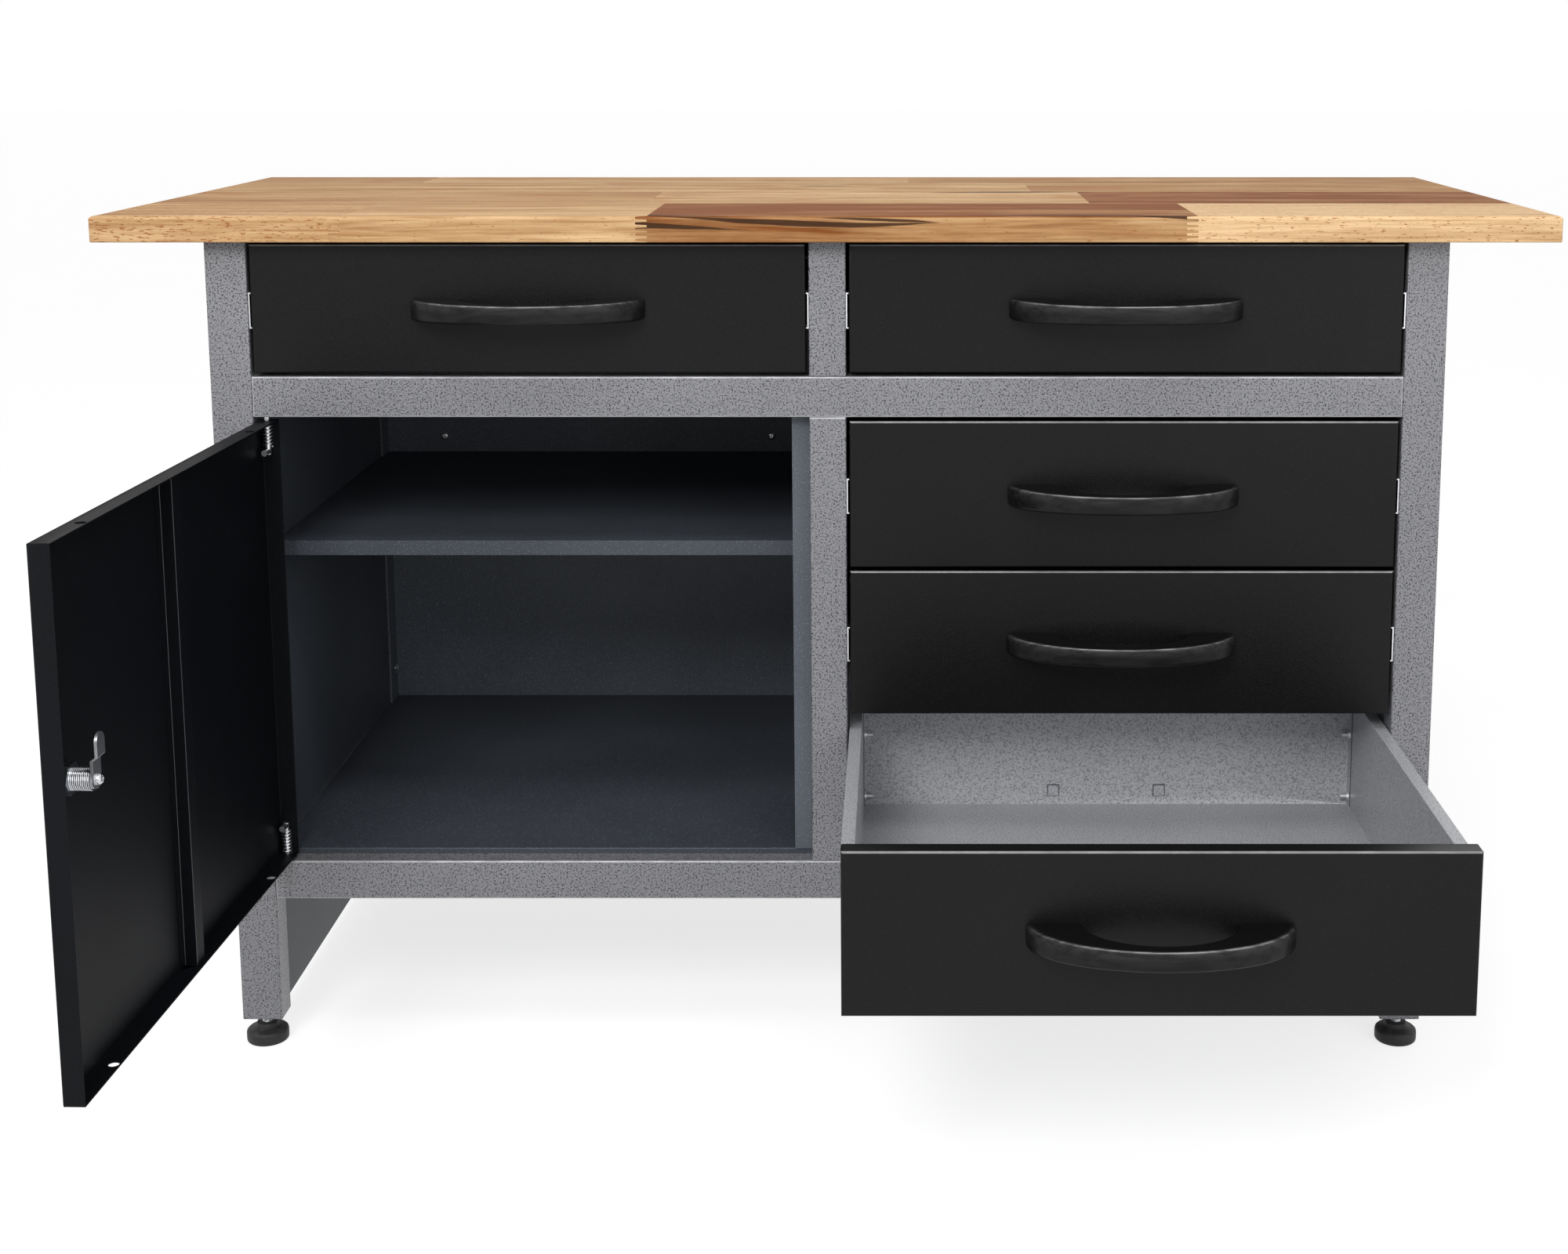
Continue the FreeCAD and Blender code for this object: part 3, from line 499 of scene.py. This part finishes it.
# A pale painted highlight, in streaky patches, mixed into the black; the patches also vary the roughness.
highlight_strength = spot.node("Attribute", {}, out=2, attribute_name="handle_highlight") * (0.3 + scuffs_and_highlight_patches.rise(0.36, 0.62) * 0.7)
tint = highlight_strength.mix((0.0036, 0.0036, 0.0038), (0.34, 0.34, 0.345))
shade(plastic, tint, 0.26 + scuffs_and_highlight_patches * 0.08 - highlight_strength * 0.08, grain, 0.00012, 0.5)
for name in DRAWERS:
    grid, handle_highlight = bow(*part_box(f"{name}_drawer_handle"))
    handle = joined(f"{name}_handle", (grid, False, True))
    highlight_layer = handle.data.attributes.new("handle_highlight", "FLOAT", "POINT")
    highlight_layer.data.foreach_set("value", handle_highlight.ravel().astype(np.float32))
    fit_out(handle, plastic, f"{name}_drawer", "black_plastic", f"{name}_drawer_handle")

# Door: a pan of sheet like the drawer fronts, with a hat section welded down its middle to keep it flat,
# in a blue-black powder coat.
ink = powder_coat("ink_black", (0.0034, 0.004, 0.0055), (0.0026, 0.003, 0.0042), 0.4, 1000,
                  Specular_IOR_Level=0.11)
# Every bend of the hat section carries a faint painted highlight in a paler blue-black.
ink_bend_highlight = bend_highlight_paint("painted_highlight_ink", (0.05, 0.055, 0.066))
softened("door_panel", ink, "door", "black_paint", SHEET_BEND)
softened("door_stiffener", ink, "door", "black_paint", SHEET_BEND, ink_bend_highlight, everywhere=True)

# Hinge pins: bent zinc rods through the door's flanges into the rails. A short coil spring on each keeps
# it pushed home.
coat(zinc, "hinge_pins")
HINGE_X, HINGE_Y = -0.549, front_y + 0.008
SPRING_START, SPRING_END = 0.0022, 0.026


def coil(bottom, top, turns=7, radius=0.0044, wire=0.0008):
    """A round wire carried up a helix about the hinge line."""
    angle = np.linspace(0, 2 * np.pi * turns, 22 * turns)[:, None]
    section = np.linspace(0, 2 * np.pi, 8, endpoint=False)[None, :]
    reach = radius + wire * np.cos(section)
    height = bottom + (top - bottom) * angle / (2 * np.pi * turns) + wire * np.sin(section)
    x, y = HINGE_X + reach * np.cos(angle), HINGE_Y + reach * np.sin(angle)
    return np.stack([x, y, height], -1), False, True


door_low, door_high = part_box("door_panel")
springs = joined(
    "hinge_springs",
    coil(door_high.z - SPRING_END, door_high.z - SPRING_START),
    coil(door_low.z + SPRING_START, door_low.z + SPRING_END),
)
fit_out(springs, zinc, "door", "zinc")

# Cam lock: a turned zinc body through the door, held by a nut on its thread, with a plug that turns a bent
# cam. A screw with a cross recess holds the cam on the plug.
polished = zinc_plate("polished_zinc", (0.56, 0.575, 0.6), 0.05)
coat(polished, "lock_body", "lock_nut", "lock_plug")
OPEN = np.radians(92)
INWARD = np.array((np.sin(OPEN), np.cos(OPEN), 0))
ACROSS, UP = square_to(INWARD)[0], np.array((0.0, 0.0, 1.0))
NUT, BARREL, CAM_SHEET, AIR = 0.005, 0.022, 0.0025, 0.00015
THREAD_RADIUS, THREAD_SHORT = 0.0094, 0.0003    # it ends a little short of the barrel
nut_low, nut_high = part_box("lock_nut")
lock_seat = np.array((nut_low + nut_high) / 2) - NUT / 2 * INWARD


def threaded(seat, way, start, end, radius, pitch=0.0015, depth=0.0005):
    """A rod whose radius follows a triangular thread: it depends on the way along the rod less the turn."""
    along = np.linspace(start, end, round(10 * (end - start) / pitch))[:, None]
    turn = np.linspace(0, 2 * np.pi, 32, endpoint=False)[None, :]
    reach = radius - depth * np.abs(2 * ((along / pitch - turn / (2 * np.pi)) % 1) - 1)
    side, other = square_to(way)
    ring = np.cos(turn)[..., None] * side + np.sin(turn)[..., None] * other
    return np.asarray(seat, float) + reach[..., None] * ring + along[..., None] * way, False, True


def cam_plate(half=0.0075, length=0.038, knee=0.016, slope=0.0035, joggle=0.004):
    """A strip with round ends carried up along a path that steps inwards smoothly at its knee."""
    up = np.linspace(-half, length, 92)[:, None]
    beyond = np.maximum(np.maximum(-up, up - (length - half)), 0)
    wide = np.sqrt(np.maximum(half ** 2 - beyond ** 2, 0)) * np.array([-1, 1, 1, -1])
    step = np.clip((up - knee) / slope, 0, 1)
    deep = BARREL + joggle * step ** 2 * (3 - 2 * step) + np.array([AIR, AIR, CAM_SHEET, CAM_SHEET])
    return lock_seat + deep[..., None] * INWARD + wide[..., None] * ACROSS + up[..., None] * UP, False, True


barrel = threaded(lock_seat, INWARD, NUT, BARREL - THREAD_SHORT, THREAD_RADIUS)
fit_out(joined("barrel_thread", barrel), polished, "door", "zinc")
fit_out(joined("cam", cam_plate()), zinc, "lock", "zinc", "lock_cam")
cam_head = pan_head(lock_seat + (BARREL + CAM_SHEET) * INWARD, INWARD, size=0.009, rise=0.004)
fit_out(joined("cam_screw_head", cam_head), polished, "lock", "zinc", "cam_screw")

# Levelling feet: a pad moulded in black plastic on the end of a threaded zinc stud, which screws into the
# plate in each leg's foot.
STUD_RADIUS, STUD_START = 0.005, 0.0195
PAD_PROFILE = np.array([
    (0, 0), (17, 0), (19.8, 0.4), (20.7, 1.4), (21, 3), (21, 9.5), (20.6, 11.4), (19.4, 12.6), (17.6, 13.1),
    (12.2, 14), (11.2, 14.8), (11, 16), (11, 18.6), (10.4, 19.6), (9.4, 20), (0, 20),
]) / 1000
rubber, spot = new_finish("moulded_pad", Specular_IOR_Level=0.35)
grain, dust = spot.noise(900, 3), spot.noise(90, 4, 0.6)
tint = dust.rise(0.45, 0.75).mix((0.018, 0.018, 0.018), (0.045, 0.044, 0.042))
shade(rubber, tint, 0.45 + dust * 0.25, grain, 0.0002, 0.5)
for corner in CORNERS:
    low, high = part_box(f"{corner}_foot")
    seat = ((low.x + high.x) / 2, (low.y + high.y) / 2)
    pad = turned(PAD_PROFILE, (*seat, low.z), UP, steps=56), False, True
    fit_out(joined(f"{corner}_pad", pad), rubber, f"{corner}_foot", "black_plastic", f"{corner}_foot")
    stud = threaded((*seat, 0), UP, low.z + STUD_START, high.z, STUD_RADIUS)
    fit_out(joined(f"{corner}_stud", stud), zinc, f"{corner}_foot", "zinc")

# Worktop: beech staves glued side by side and finger jointed end to end, planed and oiled. Four rows make
# up the depth, and one stave of red heartwood with black streaks lies along the front edge.
beech, spot = new_finish("oiled_beech", Specular_IOR_Level=0.07)
x, y, z = (spot.axis(number) for number in range(3))
top_low, top_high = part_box("worktop")
ROWS = [
    # the row's front, in metres from the top's front edge, and its staves from left to right: right end,
    # tone from 0, pale, to 1, heartwood, and share of flecks
    (0.0, [(-0.462, 0.4, 1.0), (-0.170, 0.31, 0.25), (0.354, 1.0, 0.1), (0.7, -0.05, 0.66)]),
    (0.164, [(-0.190, 0.55, 0.25), (0.265, 0.32, 0.2), (0.7, 0.98, 0.15)]),
    (0.336, [(-0.275, 0.4, 0.2), (0.215, 0.28, 0.25), (0.7, 0.5, 0.2)]),
    (0.49, [(-0.490, 0.52, 0.2), (0.08, 0.24, 0.2), (0.7, 0.52, 0.2)]),
]
FINGER, FINGER_PITCH = 0.011, 0.0052
GLUE_EDGE = (0.0009, 0.0002)        # how far from a joint its glue line starts, and how far off it is full
HEARTWOOD = 0.9                     # a stave of a higher tone is heartwood
comb = z.sum("PINGPONG", z - top_low.z, FINGER_PITCH / 2) * (2 / FINGER_PITCH)
joint_x = x + comb.rise(0.36, 0.64) * FINGER
deep = y - top_low.y
tone = fleck = number = glue = 0.0
counted = 0
for row, (start, staves) in enumerate(ROWS):
    inside = (deep > start) if start else 1.0
    if row + 1 < len(ROWS):
        inside = inside * (1 - (deep > ROWS[row + 1][0]))
    row_tone, row_fleck, row_count = staves[0][1], staves[0][2], float(counted)
    for (end, before, flecks_before), (_, after, flecks_after) in zip(staves, staves[1:]):
        past = joint_x > end
        row_tone = row_tone + past * (after - before)
        row_fleck = row_fleck + past * (flecks_after - flecks_before)
        row_count = row_count + past
    tone = tone + inside * row_tone
    fleck = fleck + inside * row_fleck
    number = number + inside * row_count
    counted += len(staves)
    if start:
        glue = glue + abs(deep - start).rise(*GLUE_EDGE)

# Each stave has its own cut of grain: its number moves the pattern far along.
apart = spot.node("CombineXYZ", {0: number * 3.7, 1: number * 1.3, 2: number * 2.1})
own = spot.moved(apart)
figure = own.stretched(1, 9, 9).noise(1.9, 3, 0.55, 0.6)
rings = own.stretched(1.2, 26, 26).noise(2.4, 3, 0.6, 1.4)
fibre = own.stretched(1, 34, 34).noise(11, 5, 0.68)
pores = own.stretched(1, 4.5, 4.5).noise(150, 2, 0.5)
blush = own.stretched(1, 2.6, 2.6).noise(7, 3, 0.6).rise(0.52, 0.68) * (deep > ROWS[1][0]) * 0.6
TONES = (
    (0, (0.85, 0.585, 0.33)), (0.3, (0.64, 0.41, 0.21)),
    (0.6, (0.5, 0.28, 0.125)), (1, (0.245, 0.077, 0.018)),
)
cloud = own.stretched(1, 3, 3).noise(9, 4, 0.65)
sapwood = (tone > HEARTWOOD) * deep.rise(0.0016, 0.0006) * (0.23 + x.rise(-0.05, 0.25) * 0.18)
shift = (figure - 0.5) * 1.15 + (rings - 0.5) * 1.05 + (cloud - 0.5) * 0.5 - sapwood
wood = (tone + shift).node("ValToRGB", {0: tone + shift}, stops=TONES)
wood = blush.mix(wood, (0.47, 0.21, 0.08))
wood = ((fibre - 0.45) * 3.4).mix(wood, wood.stretched(0.6, 0.48, 0.36))
dashes = (pores + fleck * 0.09).rise(0.69, 0.715) * 0.9
wood = dashes.mix(wood, (0.36, 0.14, 0.05))

# Black heart streaks, each a lens about a sagging line. The line runs over the front edge without a break:
# distance is counted back on the top and down on the front.
STREAK_WANDER, STREAK_EDGE = 0.003, (-0.0005, 0.0007)
over = deep + (z - top_high.z) + (own.stretched(1, 4, 4).noise(14, 3) - 0.5) * STREAK_WANDER
STREAKS = [
    # left end, right end, place at each end, sag, half thickness, the ends where it tapers off
    (-0.17, 0.108, 0.004, -0.0064, -0.0054, 0.0029, "both"),
    (-0.012, 0.108, -0.0003, -0.0066, 0.0009, 0.0019, "both"),
    (-0.17, -0.09, 0.012, 0.001, 0.0, 0.007, "right"),
    (-0.181, -0.072, -0.0084, -0.0128, 0.0003, 0.0036, "right"),
    (0.105, 0.356, 0.006, 0.003, 0.004, 0.0055, "both"),
    (0.27, 0.3565, 0.004, -0.0008, 0.0, 0.0036, "left"),
    (-0.05, 0.02, 0.43, 0.433, 0.0, 0.005, "both"),
    (0.1, 0.285, 0.33, 0.334, 0.0, 0.009, "both"),
]
black_heart = 0.0
for left, right, first, last, sag, half, taper in STREAKS:
    run = (x - left) / (right - left)
    swell = run * (1 - run) * 4
    line = first + run * (last - first) + swell * sag
    width = {"both": swell, "right": 1 - run, "left": run}[taper] * half
    within = (run > 0) * (1 - (run > 1))
    black_heart = black_heart + (width - abs(over - line)).rise(*STREAK_EDGE) * within
heartwood = (tone > HEARTWOOD) + (deep > ROWS[1][0])
heart = black_heart.sum("MINIMUM", black_heart * heartwood, 1.0) * 0.9
wood = heart.mix(wood, (0.036, 0.015, 0.008))

# Ends of the top: end grain, darker, with pores instead of dashes.
end_grain = abs(x).rise(top_high.x - 0.0008, top_high.x - 0.0004)
end_pores = spot.stretched(0.2, 1, 1).noise(420, 3, 0.6)
wood = (end_grain * (0.25 + end_pores * 0.4)).mix(wood, (0.3, 0.16, 0.075))
wood = (glue * 0.5).mix(wood, (0.25, 0.13, 0.06))
shade(beech, wood, 0.5 + fibre * 0.2, fibre - dashes * 0.4, 0.00025, 0.5)
ARRIS = 0.0011
softened("worktop", beech, "frame", "beech", ARRIS)

# Studio: a pale floor without edges, which keeps the bench's shadow, and white behind it. Three large lamps
# light it softly: one high in front on the left, one lower on the right and a long one above.
FLOOR = 30.0
floor_mesh = bpy.data.meshes.new("floor")
floor_corners = [(-FLOOR, -FLOOR, 0), (FLOOR, -FLOOR, 0), (FLOOR, FLOOR, 0), (-FLOOR, FLOOR, 0)]
floor_mesh.from_pydata(floor_corners, [], [(0, 1, 2, 3)])
floor = bpy.data.objects.new("floor", floor_mesh)
bpy.context.scene.collection.objects.link(floor)
floor_paint, spot = new_finish("pale_floor", Roughness=0.9, Specular_IOR_Level=0.1)
shade(floor_paint, spot.noise(3, 2).mix((0.44, 0.44, 0.44), (0.46, 0.46, 0.46)))


def looked_at(tree):
    """1 for the rays that show a surface straight, in a mirror or through glass, and 0 for light."""
    path = tree.nodes.new("ShaderNodeLightPath")
    first, *others = [Socket(path.outputs[f"Is {ray} Ray"]) for ray in ("Camera", "Glossy", "Transmission")]
    return first.sum("MINIMUM", sum(others, first), 1.0)


white = looked_at(floor_paint.node_tree).mix((0, 0, 0), (0.74, 0.74, 0.74))
floor_inputs = floor_paint.node_tree.nodes["Principled BSDF"].inputs
floor_paint.node_tree.links.new(white.output, floor_inputs["Emission Color"])
floor_inputs["Emission Strength"].default_value = 1.0
floor_mesh.materials.append(floor_paint)

world = bpy.data.worlds.new("studio")
bpy.context.scene.world = world
world.use_nodes = True
background = world.node_tree.nodes["Background"]
strength = looked_at(world.node_tree) * 0.52 + 0.48
world.node_tree.links.new(strength.output, background.inputs["Strength"])
background.inputs["Color"].default_value = (1, 1, 1, 1)


def soft_light(name, place, aim, size, watts):
    """A large area lamp, as wide and as deep as size says, at a place and turned to a point."""
    lamp = bpy.data.lights.new(name, "AREA")
    lamp.shape, lamp.energy = "RECTANGLE", watts
    lamp.size, lamp.size_y = size
    holder = bpy.data.objects.new(name, lamp)
    bpy.context.scene.collection.objects.link(holder)
    away = np.subtract(aim, place)
    holder.location = place
    flat = np.hypot(away[0], away[1])
    holder.rotation_euler = (np.arctan2(flat, -away[2]), 0, np.arctan2(-away[0], away[1]))


soft_light("key", (-0.8, -2.9, 2.4), (0, 0, 0.45), (1.2, 1.2), 64)
soft_light("fill", (2.0, -3.0, 1.3), (0.1, 0, 0.45), (2.0, 2.0), 20)
soft_light("strip", (0.1, -1.1, 2.7), (0.1, -0.1, 0.5), (2.4, 0.6), 15)

# Camera: in front of the bench, a little above its top and tilted down, as the photograph was taken. Its
# focal length and the pixel that it points at are in pixels of a frame of 2000 x 1600.
IMAGE_WIDTH, IMAGE_HEIGHT, FOCAL_PIXELS, AXIS_PIXEL = 2000, 1600, 2771, (1150, 500)
CAMERA_PLACE, CAMERA_TILT = (0.072, -2.113, 1.015), 9.2
camera = bpy.data.cameras.new("camera")
camera.sensor_fit, camera.sensor_width = "HORIZONTAL", 36.0
camera.lens = FOCAL_PIXELS / IMAGE_WIDTH * camera.sensor_width
camera.shift_x = (IMAGE_WIDTH / 2 - AXIS_PIXEL[0]) / IMAGE_WIDTH
camera.shift_y = (AXIS_PIXEL[1] - IMAGE_HEIGHT / 2) / IMAGE_WIDTH
stand = bpy.data.objects.new("camera", camera)
bpy.context.scene.collection.objects.link(stand)
stand.location = CAMERA_PLACE
stand.rotation_euler = (np.radians(90 - CAMERA_TILT), 0, 0)
bpy.context.scene.camera = stand
bpy.context.scene.view_settings.view_transform = "Standard"
